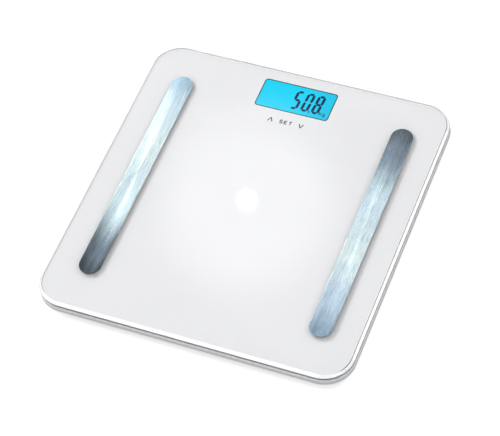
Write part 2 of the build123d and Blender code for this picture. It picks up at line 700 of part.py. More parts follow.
def pcb_components():
    with BuildPart() as group:
        for x, y in ((6, -16), (10, -16), (34, -8), (34, -4), (34, 0), (8, 14), (12, 14), (16, 14)):
            with Locations((x, PCB_Y + y, PCB_Z - 0.45)):
                Box(1.2, 2.2, 0.9)
        for x in (-12, -4):
            with Locations((x, PCB_Y + 6, PCB_Z - 1.6)):
                Cylinder(2.5, 3.2)
    return group.part


def plug_places():
    rows = ((FOOT_Y, 7.0), (FRONT_PLUG_Y, 7.0), (STRIP_PLUG_Y, 3.6))
    return [(side, y, width) for side in (-1, 1) for y, width in rows]


def wire_connectors():
    with BuildPart() as plugs:
        for side, y, width in plug_places():
            with Locations((side * (PLUG_X - 2.6), y, PCB_TOP + 1.7)):
                Box(5.2, width, 3.4)
        with Locations((BATTERY_PLUG_X, PCB_FRONT + 2.6, PCB_TOP + 1.7)):
            Box(6.4, 5.2, 3.4)
    return plugs.part


SWITCH_Z = FLOOR_Z + BODY_GAP + 0.8 + BUTTON_TRAVEL + BODY_GAP


def tact_switch():
    with BuildPart() as switch:
        add(block(BUTTON_X - 3, BUTTON_X + 3, BUTTON_Y - 3, BUTTON_Y + 3, SWITCH_Z + 0.7, PCB_Z))
        add(drum(BUTTON_X, BUTTON_Y, 1.6, SWITCH_Z, SWITCH_Z + 1))
    return switch.part


def unit_button():
    low = UNDER_Z + 0.2
    flange = FLOOR_Z + BODY_GAP
    with BuildPart() as button:
        add(drum(BUTTON_X, BUTTON_Y, BUTTON_R, low, flange))
        fillet(button.edges().group_by(Axis.Z)[0], 0.4)
        add(drum(BUTTON_X, BUTTON_Y, BUTTON_R + 1.4, flange, flange + 0.8))
    return button.part


def touch_springs():
    turns = 5
    wire = 0.3
    low = PCB_TOP + wire
    high = PRINT_Z - wire
    with BuildPart() as coils:
        for n in (-1, 0, 1):
            x = n * KEY_PITCH
            with BuildLine() as path:
                Helix(pitch=(high - low) / turns, height=high - low, radius=2.6, center=(x, KEY_Y, low))
            with BuildSketch(Plane(origin=path.line @ 0, z_dir=path.line % 0)):
                Circle(wire)
            sweep(path=path.line, is_frenet=True)
    return coils.part


# ---------------------------------------------------------------- display stack
def lcd_panel():
    low = LCD_TOP_Z - LCD_T
    return slab(LCD_W, LCD_D, 0.6, low, LCD_TOP_Z, 0, WINDOW_Y)


def lcd_backlight():
    high = LCD_TOP_Z - LCD_T
    depth = LCD_D - PIN_LEDGE
    return slab(LCD_W, depth, 0.6, high - BACKLIGHT_T, high, 0, WINDOW_Y + PIN_LEDGE / 2)


def lcd_frame():
    out_w = LCD_W + 2 * LCD_FRAME_T + 0.2
    out_d = LCD_D + 2 * LCD_FRAME_T + 0.2
    with BuildPart() as frame:
        add(slab(out_w, out_d, 1.6, PCB_TOP, LCD_TOP_Z - 0.1, 0, WINDOW_Y))
        add(slab(LCD_W + 0.2, LCD_D + 0.2, 0.7, PCB_TOP - 1, LCD_TOP_Z + 1, 0, WINDOW_Y), mode=Mode.SUBTRACT)
    return frame.part


def segment(cx, cy, length, upright):
    half = length / 2
    t = SEGMENT_T / 2
    if upright:
        ring = [(0, half), (t, half - t), (t, -half + t), (0, -half), (-t, -half + t), (-t, half - t)]
    else:
        ring = [(half, 0), (half - t, t), (-half + t, t), (-half, 0), (-half + t, -t), (half - t, -t)]
    lean = math.tan(math.radians(DIGIT_SLANT))
    return [(cx + px + (cy + py - WINDOW_Y) * lean, cy + py) for px, py in ring]


LIT = {"5": "afgcd", "0": "abcdef", "8": "abcdefg"}


def digit_segments(text, cx):
    half_w = (DIGIT_W - SEGMENT_T) / 2
    reach = (DIGIT_H - SEGMENT_T) / 2
    up_len = reach - SEGMENT_GAP
    side_len = 2 * half_w - SEGMENT_GAP
    places = {
        "a": (0, reach, side_len, False), "g": (0, 0, side_len, False), "d": (0, -reach, side_len, False),
        "f": (-half_w, reach / 2, up_len, True), "b": (half_w, reach / 2, up_len, True),
        "e": (-half_w, -reach / 2, up_len, True), "c": (half_w, -reach / 2, up_len, True),
    }
    for name in LIT[text]:
        ox, oy, length, upright = places[name]
        yield segment(cx + ox, WINDOW_Y + oy, length, upright)


def lcd_segments():
    with BuildPart() as marks:
        with BuildSketch(Plane.XY.offset(LCD_TOP_Z)):
            for n, text in enumerate("508"):
                for ring in digit_segments(text, DIGIT_X + n * DIGIT_PITCH):
                    with BuildLine():
                        Polyline(*ring, close=True)
                    make_face()
            with Locations((DIGIT_X + 1.5 * DIGIT_PITCH - 0.8, WINDOW_Y - DIGIT_H / 2 + 0.9)):
                Circle(0.85)
            for name, x in (("k", UNIT_X - 1.7), ("g", UNIT_X + 1.7)):
                add(strokes(letter_chains(name, 1.0, 1.7), x, WINDOW_Y - UNIT_DROP, UNIT_STROKE))
        extrude(amount=SEGMENT_LAYER)
    return marks.part


def lcd_pins():
    low = PCB_TOP
    high = LCD_TOP_Z - LCD_T
    y = WINDOW_Y - LCD_D / 2 + PIN_LEDGE / 2
    with BuildPart() as pins:
        for n in range(20):
            x = (n - 9.5) * 2.54
            with Locations((x, y, (low + high) / 2)):
                Box(0.5, 0.5, high - low)
    return pins.part


# ---------------------------------------------------------------- battery bay
def battery_door():
    latch_out = DOOR_FRONT - 0.4
    with BuildPart() as door:
        add(block(-DOOR_W / 2, DOOR_W / 2, HINGE_Y, DOOR_FRONT, UNDER_Z, UNDER_Z + DOOR_T))
        with Locations((0, HINGE_Y, HINGE_Z)):
            Cylinder(DOOR_T / 2, DOOR_W, rotation=(0, 90, 0))
            Cylinder(HINGE_PIN_R, DOOR_W + 2 * HINGE_PIN_L, rotation=(0, 90, 0))
        add(block(-6, 6, latch_out - 0.8, latch_out, UNDER_Z + DOOR_T - 0.5, SHOULDER_Z + 2.6))
        add(block(-5, 5, latch_out - 0.2, latch_out + 0.35, SHOULDER_Z + 0.2, SHOULDER_Z + 1.0))
        # grip grooves on the outside
        for n in range(5):
            groove = DOOR_FRONT - 9.5 + n * 1.8
            add(block(-9, 9, groove, groove + 0.8, UNDER_Z - 1, UNDER_Z + 0.4), mode=Mode.SUBTRACT)
    return door.part


def battery_cells():
    with BuildPart() as cells:
        for end in (-1, 1):
            y = BAY_Y + end * CELL_PITCH / 2
            body_l = CELL_L - 1.2
            with Locations((-end * 0.6, y, BAY_MIDDLE_Z)):
                Cylinder(CELL_R, body_l, rotation=(0, 90, 0))
            with Locations((end * (CELL_L / 2 - 0.6), y, BAY_MIDDLE_Z)):
                Cylinder(1.9, 1.2, rotation=(0, 90, 0))
    return cells.part


PLATE_T = 0.3


def battery_contacts():
    half_l = BAY_L / 2
    with BuildPart() as plates:
        wide = BAY_W / 2 - 1.1
        add(block(-half_l, -half_l + PLATE_T, BAY_Y - wide, BAY_Y + wide, BAY_MIDDLE_Z - 4, BAY_MIDDLE_Z + 4))
        for end in (-1, 1):
            y = BAY_Y + end * CELL_PITCH / 2
            add(block(half_l - PLATE_T, half_l, y - 4, y + 4, BAY_MIDDLE_Z - 4, BAY_MIDDLE_Z + 4))
            add(block(half_l - PLATE_T, half_l + BAY_WALL + TAB_OUT, y - 1.3, y + 1.3,
                      BAY_MIDDLE_Z, BAY_MIDDLE_Z + PLATE_T))
    return plates.part


def battery_springs():
    half_l = BAY_L / 2
    with BuildPart() as springs:
        for end in (-1, 1):
            y = BAY_Y + end * CELL_PITCH / 2
            cell_end = -end * CELL_L / 2
            plate = -end * (half_l - PLATE_T)
            x_low = min(cell_end, plate)
            x_high = max(cell_end, plate)
            wire_r = 0.3
            length = x_high - x_low - 2 * wire_r
            with BuildLine() as path:
                Helix(pitch=length / 2, height=length, radius=3.0, center=(x_low + wire_r, y, BAY_MIDDLE_Z),
                      direction=(1, 0, 0))
            with BuildSketch(Plane(origin=path.line @ 0, z_dir=path.line % 0)):
                Circle(wire_r)
            sweep(path=path.line, is_frenet=True)
            # the raised end rests on a dimple of the opposite plate
            dimple_low = min(end * CELL_L / 2, end * (half_l - PLATE_T))
            dimple_high = max(end * CELL_L / 2, end * (half_l - PLATE_T))
            with Locations(((dimple_low + dimple_high) / 2, y, BAY_MIDDLE_Z)):
                Cylinder(2.0, dimple_high - dimple_low, rotation=(0, 90, 0))
    return springs.part


# ---------------------------------------------------------------- wires
def wire(points):
    # a short run between two bends limits their radius
    runs = [math.dist(a, b) for a, b in zip(points, points[1:])]
    room = min(runs[0], runs[-1], min(runs[1:-1]) / 2)
    with BuildPart() as run:
        with BuildLine() as path:
            FilletPolyline(*points, radius=min(WIRE_BEND, 0.95 * room))
        with BuildSketch(Plane(origin=path.line @ 0, z_dir=path.line % 0)):
            Circle(WIRE_R)
        sweep(path=path.line)
    return run.part


def load_cell_wires():
    cell_end = FOOT_X - 9.5
    high = CARRIER_Z + WIRE_R
    drop = FOOT_X - CARRIER / 2 - 3.4
    with BuildPart() as group:
        for side in (-1, 1):
            for j in (-1, 0, 1):
                off = j * WIRE_PITCH
                y = FOOT_Y + off
                rear = [(cell_end, y, high), (drop, y, high), (drop, y, WIRE_Z), (RISE_X, y, WIRE_Z),
                        (RISE_X, y, PLUG_Z), (PLUG_X, y, PLUG_Z)]
                y = -FOOT_Y - off
                lane = LANE_X - off
                top = FRONT_PLUG_Y - off
                front = [(cell_end, y, high), (drop, y, high), (drop, y, WIRE_Z), (lane, y, WIRE_Z),
                         (lane, top, WIRE_Z), (RISE_X, top, WIRE_Z), (RISE_X, top, PLUG_Z),
                         (PLUG_X, top, PLUG_Z)]
                for route in (rear, front):
                    add(wire([(side * px, py, pz) for px, py, pz in route]))
    return group.part


def electrode_wires():
    y = STRIP_Y + STUD_Y
    start = STRIP_X - 11.5
    high = PRINT_Z - WASHER_T - TERMINAL_T / 2
    lane = STRIP_LANE_X
    with BuildPart() as group:
        for side in (-1, 1):
            row = STRIP_PLUG_Y
            route = [(start, y, high), (start - 6, y, high), (start - 6, y, WIRE_Z), (lane, y, WIRE_Z),
                     (lane, row, WIRE_Z), (RISE_X, row, WIRE_Z), (RISE_X, row, PLUG_Z), (PLUG_X, row, PLUG_Z)]
            add(wire([(side * px, py, pz) for px, py, pz in route]))
    return group.part


def battery_wires():
    tab_x = BAY_L / 2 + BAY_WALL + TAB_OUT
    low = BAY_MIDDLE_Z + PLATE_T / 2
    with BuildPart() as group:
        for end in (-1, 1):
            y = BAY_Y + end * CELL_PITCH / 2
            x = BATTERY_PLUG_X - end
            route = [(tab_x, y, low), (x, y, low), (x, PCB_FRONT - 22, low), (x, PCB_FRONT - 12, PLUG_Z),
                     (x, PCB_FRONT, PLUG_Z)]
            add(wire(route))
    return group.part


def rating_label():
    top = UNDER_Z + LABEL_RECESS
    return slab(LABEL_W - 2 * LABEL_FIT, LABEL_D - 2 * LABEL_FIT, 1.7, top - LABEL_T, top, 0, LABEL_Y)


# ---------------------------------------------------------------- build and write every piece
finish(glass_platform(), "glass_platform")
finish(glass_back_print(), "glass_back_print")
finish(display_border(), "display_border")
finish(letters(PRINT_Z, GLASS_Z), "key_marks")
finish(mounting_tape(), "mounting_tape")
finish(electrode(-1), "electrode_left")
finish(electrode(1), "electrode_right")
finish(electrode_washers(), "electrode_washers")
finish(ring_terminals(), "ring_terminals")
finish(electrode_nuts(), "electrode_nuts")
finish(base_housing(), "base_housing")
for corner, (sx, sy) in CORNERS.items():
    finish(foot_cap(sx * FOOT_X, sy * FOOT_Y), f"foot_cap_{corner}")
    finish(foot_pad(sx * FOOT_X, sy * FOOT_Y), f"foot_pad_{corner}")
    finish(load_cell(sx * FOOT_X, sy * FOOT_Y, sx), f"load_cell_{corner}")
    finish(load_cell_carrier(sx * FOOT_X, sy * FOOT_Y, sx), f"cell_carrier_{corner}")
finish(gauge_seals(), "gauge_seals")
finish(screws(carrier_screw_places(), CARRIER_Z + CARRIER_T, CARRIER_SCREW_L, SCREW_HEAD_R, SCREW_R),
       "carrier_screws")
finish(main_pcb(), "main_pcb")
finish(screws(board_screw_places(), PCB_TOP, BOARD_SCREW_L, SCREW_HEAD_R, SCREW_R), "pcb_screws")
finish(control_chip(), "control_chip")
finish(pcb_components(), "pcb_components")
finish(wire_connectors(), "wire_connectors")
finish(tact_switch(), "tact_switch")
finish(touch_springs(), "touch_springs")
finish(unit_button(), "unit_button")
finish(lcd_panel(), "lcd_panel")
finish(lcd_segments(), "lcd_segments")
finish(lcd_backlight(), "lcd_backlight")
finish(lcd_frame(), "lcd_frame")
finish(lcd_pins(), "lcd_pins")
finish(battery_door(), "battery_door")
finish(battery_cells(), "battery_cells")
finish(battery_contacts(), "battery_contacts")
finish(battery_springs(), "battery_springs")
finish(load_cell_wires(), "load_cell_wires")
finish(electrode_wires(), "electrode_wires")
finish(battery_wires(), "battery_wires")
finish(rating_label(), "rating_label")
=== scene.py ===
import math

import bmesh
import bpy
from mathutils import Euler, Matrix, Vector


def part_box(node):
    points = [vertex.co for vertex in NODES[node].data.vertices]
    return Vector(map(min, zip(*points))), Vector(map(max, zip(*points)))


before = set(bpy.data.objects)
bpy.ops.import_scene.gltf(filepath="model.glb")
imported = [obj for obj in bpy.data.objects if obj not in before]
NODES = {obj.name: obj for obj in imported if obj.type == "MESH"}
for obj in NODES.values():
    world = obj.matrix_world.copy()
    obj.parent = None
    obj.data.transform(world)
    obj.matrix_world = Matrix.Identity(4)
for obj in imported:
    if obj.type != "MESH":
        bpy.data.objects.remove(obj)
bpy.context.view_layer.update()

CORNERS = ("front_left", "front_right", "back_left", "back_right")
MM = 0.001

glass_low, glass_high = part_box("glass_platform")
base_low, base_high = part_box("base_housing")
strip_low, strip_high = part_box("electrode_left")
window_low, window_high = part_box("display_border")
TOP_Z = glass_high.z
CREASE_SHADE_DROP = 0.34 * MM       # height of the painted grey crease shade at the top of the bevel


# ---------------------------------------------------------------- node helpers
class Nodes:
    """Builds one material's node tree."""

    def __init__(self, name):
        self.material = bpy.data.materials.new(name)
        self.material.use_nodes = True
        self.tree = self.material.node_tree
        self.tree.nodes.clear()
        self.out = self.new("ShaderNodeOutputMaterial")
        self.coords = self.new("ShaderNodeTexCoord")

    def new(self, kind, **values):
        made = self.tree.nodes.new(kind)
        for key, value in values.items():
            setattr(made, key, value)
        return made

    def link(self, source, target):
        self.tree.links.new(source, target)

    def mapping(self, scale=(1, 1, 1), location=(0, 0, 0), rotation=(0, 0, 0)):
        node = self.new("ShaderNodeMapping")
        node.inputs["Scale"].default_value = scale
        node.inputs["Location"].default_value = location
        node.inputs["Rotation"].default_value = rotation
        self.link(self.coords.outputs["Object"], node.inputs["Vector"])
        return node.outputs["Vector"]

    def noise(self, scale, detail=3.0, roughness=0.5, vector=None, distortion=0.0):
        node = self.new("ShaderNodeTexNoise")
        node.inputs["Scale"].default_value = scale
        node.inputs["Detail"].default_value = detail
        node.inputs["Roughness"].default_value = roughness
        node.inputs["Distortion"].default_value = distortion
        self.link(vector or self.coords.outputs["Object"], node.inputs["Vector"])
        return node.outputs["Fac"]

    def voronoi(self, scale, vector=None, feature="F1", output="Distance"):
        node = self.new("ShaderNodeTexVoronoi", feature=feature)
        node.inputs["Scale"].default_value = scale
        self.link(vector or self.coords.outputs["Object"], node.inputs["Vector"])
        return node.outputs[output]

    def ramp(self, source, stops, ease="LINEAR"):
        node = self.new("ShaderNodeValToRGB")
        node.color_ramp.interpolation = ease
        elements = node.color_ramp.elements
        while len(elements) < len(stops):
            elements.new(0.5)
        for element, (place, colour) in zip(elements, stops):
            element.position = place
            element.color = colour if len(colour) == 4 else (*colour, 1)
        self.link(source, node.inputs["Fac"])
        return node.outputs["Color"]

    def span(self, source, low, high, to_low=0.0, to_high=1.0):
        node = self.new("ShaderNodeMapRange")
        node.inputs["From Min"].default_value = low
        node.inputs["From Max"].default_value = high
        node.inputs["To Min"].default_value = to_low
        node.inputs["To Max"].default_value = to_high
        self.link(source, node.inputs["Value"])
        return node.outputs["Result"]

    def math(self, operation, a, b=None):
        node = self.new("ShaderNodeMath", operation=operation)
        for socket, value in zip(node.inputs, (a, b)):
            if value is None:
                continue
            if isinstance(value, (int, float)):
                socket.default_value = value
            else:
                self.link(value, socket)
        return node.outputs["Value"]

    def mix(self, a, b, share, blend="MIX"):
        node = self.new("ShaderNodeMix", data_type="RGBA", blend_type=blend)
        for socket, value in ((node.inputs[0], share), (node.inputs[6], a), (node.inputs[7], b)):
            if isinstance(value, (int, float)):
                socket.default_value = value
            elif isinstance(value, tuple):
                socket.default_value = value if len(value) == 4 else (*value, 1)
            else:
                self.link(value, socket)
        return node.outputs[2]

    def axis(self, name):
        node = self.new("ShaderNodeSeparateXYZ")
        self.link(self.coords.outputs["Object"], node.inputs["Vector"])
        return node.outputs[name]

    def bump(self, height, strength, distance=0.0002, normal=None):
        node = self.new("ShaderNodeBump")
        node.inputs["Strength"].default_value = strength
        node.inputs["Distance"].default_value = distance
        self.link(height, node.inputs["Height"])
        if normal is not None:
            self.link(normal, node.inputs["Normal"])
        return node.outputs["Normal"]

    def principled(self, **values):
        node = self.new("ShaderNodeBsdfPrincipled")
        for key, value in values.items():
            socket = node.inputs[key.replace("_", " ")]
            if isinstance(value, (int, float)):
                socket.default_value = value
            elif isinstance(value, tuple):
                socket.default_value = value if len(value) == 4 else (*value, 1)
            else:
                self.link(value, socket)
        return node

    def finish(self, shader):
        self.link(shader, self.out.inputs["Surface"])
        return self.material


# ---------------------------------------------------------------- materials
def moulded_plastic(name, light, dark, roughness=0.42, grain=1800.0, grain_depth=0.12, coat=0.0, painted_shade_heights=None):
    """Moulded ABS: fine spark-eroded grain, faint flow marks and slow changes of tone.

    A pair of heights as the last argument paints light and shade on the wall: painted shade toward its foot, a
    painted highlight just under its rim."""
    m = Nodes(name)
    flow = m.noise(14.0, 2.0, 0.5, m.mapping((1, 0.35, 1)))
    speck = m.noise(grain, 2.0, 0.6)
    tone = m.ramp(m.span(flow, 0.3, 0.7), [(0.0, dark), (1.0, light)])
    colour = m.mix(tone, tuple(c * 0.93 for c in light), m.span(speck, 0.62, 0.8, 0.0, 0.5))
    # painted light and shade: the wall is darker toward its foot and carries a painted highlight just under its rim
    if painted_shade_heights is not None:
        painted_light_level = m.ramp(m.span(m.axis("Z"), *painted_shade_heights), [(0.0, (0.84, 0.84, 0.85)), (0.22, (0.90, 0.90, 0.91)),
                                                    (0.75, (1.0, 1.0, 1.0)), (0.92, (1.22, 1.22, 1.22))])
        colour = m.mix(colour, painted_light_level, 1.0, "MULTIPLY")
    gloss = m.span(m.noise(grain * 0.5, 2.0), 0.3, 0.7, roughness - 0.05, roughness + 0.08)
    shader = m.principled(Base_Color=colour, Roughness=gloss, IOR=1.53, Coat_Weight=coat, Coat_Roughness=0.12)
    m.link(m.bump(speck, grain_depth, 0.00012), shader.inputs["Normal"])
    return m.finish(shader.outputs[0])


def glass_shader(m, **values):
    """Glass that lets light from lamps and from white surfaces behind it pass straight through."""
    smear = m.noise(9.0, 3.0, 0.6, m.mapping((1.0, 0.5, 1.0)), 0.4)
    rough = m.span(smear, 0.45, 0.75, 0.012, 0.045)
    shader = m.principled(Roughness=rough, IOR=1.5, **values)
    m.link(m.bump(m.noise(16.0, 1.0), 0.02, 0.0006), shader.inputs["Normal"])
    path = m.new("ShaderNodeLightPath")
    through = m.math("MAXIMUM", path.outputs["Is Shadow Ray"], path.outputs["Is Diffuse Ray"])
    pane = m.new("ShaderNodeBsdfTransparent")
    pane.inputs["Color"].default_value = (0.975, 0.978, 0.98, 1)
    blend = m.new("ShaderNodeMixShader")
    m.link(through, blend.inputs[0])
    m.link(shader.outputs[0], blend.inputs[1])
    m.link(pane.outputs[0], blend.inputs[2])
    return blend.outputs[0]


def clear_glass():
    """Toughened glass, polished flat."""
    m = Nodes("toughened_glass")
    return m.finish(glass_shader(m, Base_Color=(0.985, 0.99, 0.99), Transmission_Weight=1.0, Specular_IOR_Level=0.25))


def bevelled_glass():
    """The bevel, painted whitish as a highlight band in place of glints and refracted print, with a thin painted grey
    crease shade where it meets the flat face, on the sides and back only.
    """
    m = Nodes("bevelled_glass")
    # painted shade: a thin dark line at the top of the bevel, on the sides and the back
    crease_shade = m.span(m.axis("Z"), TOP_Z - CREASE_SHADE_DROP, TOP_Z - CREASE_SHADE_DROP + 0.02 * MM)
    sides = m.span(m.math("ABSOLUTE", m.axis("X")), glass_high.x - 16 * MM, glass_high.x - 5 * MM)
    back = m.span(m.axis("Y"), glass_high.y - 16 * MM, glass_high.y - 5 * MM)
    grain = m.span(m.noise(2000.0, 2.0), 0.3, 0.7, 0.85, 1.0)
    shade = m.math("MULTIPLY", m.math("MULTIPLY", crease_shade, m.math("MAXIMUM", sides, back)), grain)
    colour = m.mix((0.97, 0.975, 0.98), (0.04, 0.041, 0.043), shade)
    return m.finish(glass_shader(m, Base_Color=colour, Transmission_Weight=0.4, Specular_IOR_Level=0.5))


def white_print():
    """Fired white ink behind the glass: a very fine speckle and slow changes of tone."""
    m = Nodes("fired_white_ink")
    slow = m.noise(5.0, 2.0, 0.5)
    fine = m.noise(2600.0, 2.0, 0.6)
    tone = m.ramp(m.span(slow, 0.3, 0.7), [(0.0, (0.726, 0.722, 0.734)), (1.0, (0.744, 0.740, 0.752))])
    colour = m.mix(tone, (0.695, 0.692, 0.703), m.span(fine, 0.6, 0.85, 0.0, 0.6))
    shader = m.principled(Base_Color=colour, Roughness=0.7, Specular_IOR_Level=0.1)
    m.link(m.bump(fine, 0.05, 0.0001), shader.inputs["Normal"])
    return m.finish(shader.outputs[0])


def printed_ink(name, colour, edge):
    m = Nodes(name)
    fine = m.noise(1900.0, 3.0, 0.6)
    mixed = m.mix(colour, edge, m.span(fine, 0.5, 0.8, 0.0, 0.7))
    shader = m.principled(Base_Color=mixed, Roughness=0.6, Specular_IOR_Level=0.04)
    m.link(m.bump(fine, 0.1, 0.00005), shader.inputs["Normal"])
    return m.finish(shader.outputs[0])


def brushed_steel(name, stops, low, high, roughness=0.26):
    """Stainless steel brushed along Y, with streaks of several widths; along the strip its colour runs through dark,
    white and bluish zones, a painted reflection of the studio.
    """
    m = Nodes(name)
    fine = m.noise(1.0, 2.0, 0.55, m.mapping((3600.0, 60.0, 900.0)))
    wide = m.noise(1.0, 1.0, 0.5, m.mapping((1250.0, 60.0, 300.0)))
    broad = m.noise(1.0, 2.0, 0.5, m.mapping((330.0, 7.0, 100.0)))
    streak = m.math("ADD", m.math("MULTIPLY", fine, 0.45), m.math("MULTIPLY", wide, 0.55))
    along = m.span(m.math("ADD", m.axis("Y"), m.math("MULTIPLY", m.span(broad, 0.3, 0.7, -1, 1), 0.006)), low, high)
    # painted reflection: the strip's colour changes along its length in place of the studio reflected in the steel
    painted_reflection = m.ramp(along, stops, "EASE")
    light = m.mix(painted_reflection, (1.0, 1.0, 1.0), 0.35, "SOFT_LIGHT")
    colour = m.mix(painted_reflection, m.mix(painted_reflection, (0.42, 0.53, 0.60), 1.0, "MULTIPLY"), m.span(streak, 0.5, 0.64, 0.0, 0.9))
    colour = m.mix(colour, light, m.span(streak, 0.48, 0.36, 0.0, 0.95))
    rough = m.span(streak, 0.35, 0.65, roughness - 0.05, roughness + 0.09)
    shader = m.principled(Base_Color=colour, Metallic=1.0, Roughness=rough, Anisotropic=0.55)
    m.link(m.bump(streak, 0.18, 0.00006), shader.inputs["Normal"])
    return m.finish(shader.outputs[0])


def plated_metal(name, colour, roughness=0.28, spots=0.5):
    m = Nodes(name)
    cloud = m.noise(160.0, 4.0, 0.6)
    fine = m.noise(2200.0, 2.0, 0.6)
    dull = tuple(c * 0.62 for c in colour)
    mixed = m.mix(colour, dull, m.span(cloud, 0.5, 0.8, 0.0, spots))
    rough = m.span(m.noise(400.0, 3.0), 0.3, 0.7, roughness - 0.06, roughness + 0.12)
    shader = m.principled(Base_Color=mixed, Metallic=1.0, Roughness=rough)
    m.link(m.bump(fine, 0.12, 0.00008), shader.inputs["Normal"])
    return m.finish(shader.outputs[0])


def rubber(name, colour):
    m = Nodes(name)
    grain = m.noise(900.0, 4.0, 0.65)
    dust = m.noise(60.0, 3.0, 0.6)
    mixed = m.mix(colour, tuple(min(1.0, c * 1.5 + 0.03) for c in colour), m.span(dust, 0.5, 0.8, 0.0, 0.6))
    shader = m.principled(Base_Color=mixed, Roughness=m.span(grain, 0.3, 0.7, 0.72, 0.9), IOR=1.45)
    m.link(m.bump(grain, 0.35, 0.00015), shader.inputs["Normal"])
    return m.finish(shader.outputs[0])


def lit_panel():
    """Backlit liquid crystal: cyan light, a little weaker toward the right."""
    m = Nodes("lit_crystal_panel")
    across = m.span(m.axis("X"), window_low.x, window_high.x)
    glow = m.ramp(across, [(0.0, (0.0, 0.70, 1.0)), (0.55, (0.0, 0.71, 1.0)), (1.0, (0.01, 0.60, 0.86))], "EASE")
    grid = m.noise(2400.0, 1.0)
    colour = m.mix(glow, (0.0, 0.62, 0.93), m.span(grid, 0.5, 0.8, 0.0, 0.5))
    shader = m.principled(Base_Color=(0.0, 0.04, 0.06), Roughness=0.35, Specular_IOR_Level=0.05,
                          Emission_Color=colour, Emission_Strength=0.95)
    return m.finish(shader.outputs[0])


def pcb_mask():
    m = Nodes("solder_mask")
    traces = m.new("ShaderNodeTexBrick")
    traces.inputs["Scale"].default_value = 130.0
    traces.inputs["Mortar Size"].default_value = 0.03
    m.link(m.coords.outputs["Object"], traces.inputs["Vector"])
    pads = m.voronoi(260.0)
    base = m.mix((0.012, 0.12, 0.045), (0.02, 0.19, 0.075), traces.outputs["Fac"])
    colour = m.mix(base, (0.55, 0.5, 0.36), m.span(pads, 0.16, 0.12))
    shader = m.principled(Base_Color=colour, Roughness=0.32, IOR=1.5, Coat_Weight=0.3, Coat_Roughness=0.15)
    m.link(m.bump(traces.outputs["Fac"], 0.2, 0.00004), shader.inputs["Normal"])
    return m.finish(shader.outputs[0])


def battery_jacket():
    m = Nodes("cell_jacket")
    low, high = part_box("battery_cells")
    along = m.span(m.axis("X"), low.x, high.x)
    band = m.ramp(along, [(0.0, (0.55, 0.52, 0.47)), (0.03, (0.03, 0.05, 0.09)), (0.62, (0.03, 0.05, 0.09)),
                          (0.64, (0.55, 0.23, 0.07)), (0.95, (0.60, 0.27, 0.09)), (0.97, (0.6, 0.57, 0.5))],
                  "CONSTANT")
    fine = m.noise(700.0, 2.0)
    shader = m.principled(Base_Color=m.mix(band, (0.2, 0.2, 0.2), m.span(fine, 0.6, 0.9, 0.0, 0.3)), Metallic=0.4,
                          Roughness=0.3)
    m.link(m.bump(fine, 0.05, 0.00005), shader.inputs["Normal"])
    return m.finish(shader.outputs[0])


def insulated_wire(name, colour):
    m = Nodes(name)
    grain = m.noise(500.0, 3.0)
    mixed = m.mix(colour, tuple(c * 0.7 for c in colour), m.span(grain, 0.4, 0.8))
    shader = m.principled(Base_Color=mixed, Roughness=0.42)
    m.link(m.bump(grain, 0.1, 0.0001), shader.inputs["Normal"])
    return m.finish(shader.outputs[0])


def foil_label():
    m = Nodes("foil_label")
    low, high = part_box("rating_label")
    fine = m.noise(1500.0, 2.0)
    x = m.math("ABSOLUTE", m.axis("X"))
    y = m.math("ABSOLUTE", m.math("SUBTRACT", m.axis("Y"), (low.y + high.y) / 2))
    edge_x = m.span(x, high.x - 0.0021, high.x - 0.0019)
    edge_y = m.span(y, (high.y - low.y) / 2 - 0.0021, (high.y - low.y) / 2 - 0.0019)
    frame_line = m.math("MAXIMUM", edge_x, edge_y)
    paper = m.mix((0.72, 0.73, 0.74), (0.62, 0.63, 0.645), m.span(fine, 0.4, 0.8))
    colour = m.mix(paper, (0.33, 0.35, 0.38), frame_line)
    shader = m.principled(Base_Color=colour, Metallic=0.35, Roughness=0.38)
    m.link(m.bump(fine, 0.1, 0.00005), shader.inputs["Normal"])
    return m.finish(shader.outputs[0])


def set_material(node, material):
    mesh = NODES[node].data
    mesh.materials.clear()
    mesh.materials.append(material)


def paint_faces(node, material, test):
    """Give a second material to the faces of a node that pass a test of their middle and normal."""
    mesh = NODES[node].data
    mesh.materials.append(material)
    index = len(mesh.materials) - 1
    for face in mesh.polygons:
        if test(face.center, face.normal):
            face.material_index = index


def paint_wires(node, materials):
    """Give the separate wires of a node different insulation colours, in turn."""
    mesh = NODES[node].data
    work = bmesh.new()
    work.from_mesh(mesh)
    groups = []
    seen = set()
    for face in work.faces:
        if face.index in seen:
            continue
        seen.add(face.index)
        stack, group = [face], []
        while stack:
            here = stack.pop()
            group.append(here.index)
            for edge in here.edges:
                for other in edge.link_faces:
                    if other.index not in seen:
                        seen.add(other.index)
                        stack.append(other)
        groups.append(group)
    work.free()
    mesh.materials.clear()
    for material in materials:
        mesh.materials.append(material)

    def middle(group):
        total = sum((mesh.polygons[i].center for i in group), Vector())
        return total / len(group)

    groups.sort(key=lambda g: (middle(g).x > 0, round(middle(g).y, 3)))
    for turn, group in enumerate(groups):
        for i in group:
            mesh.polygons[i].material_index = turn % len(materials)


WHITE = ((0.80, 0.81, 0.82), (0.77, 0.78, 0.79))
# Painted reflections along the electrode strips: dark, white and bluish zones in place of the studio reflected in the
# steel
LEFT_PAINTED_REFLECTION = [(0.0, (0.05, 0.06, 0.07)), (0.12, (0.12, 0.15, 0.18)), (0.38, (0.72, 0.88, 0.93)),
             (0.64, (0.84, 0.98, 0.99)), (0.84, (0.68, 0.84, 0.94)), (1.0, (0.42, 0.59, 0.72))]
RIGHT_PAINTED_REFLECTION = [(0.0, (0.26, 0.36, 0.46)), (0.16, (0.54, 0.68, 0.80)), (0.36, (0.84, 0.98, 1.0)),
              (0.62, (0.75, 0.93, 1.0)), (0.88, (0.23, 0.285, 0.35)), (1.0, (0.12, 0.14, 0.16))]

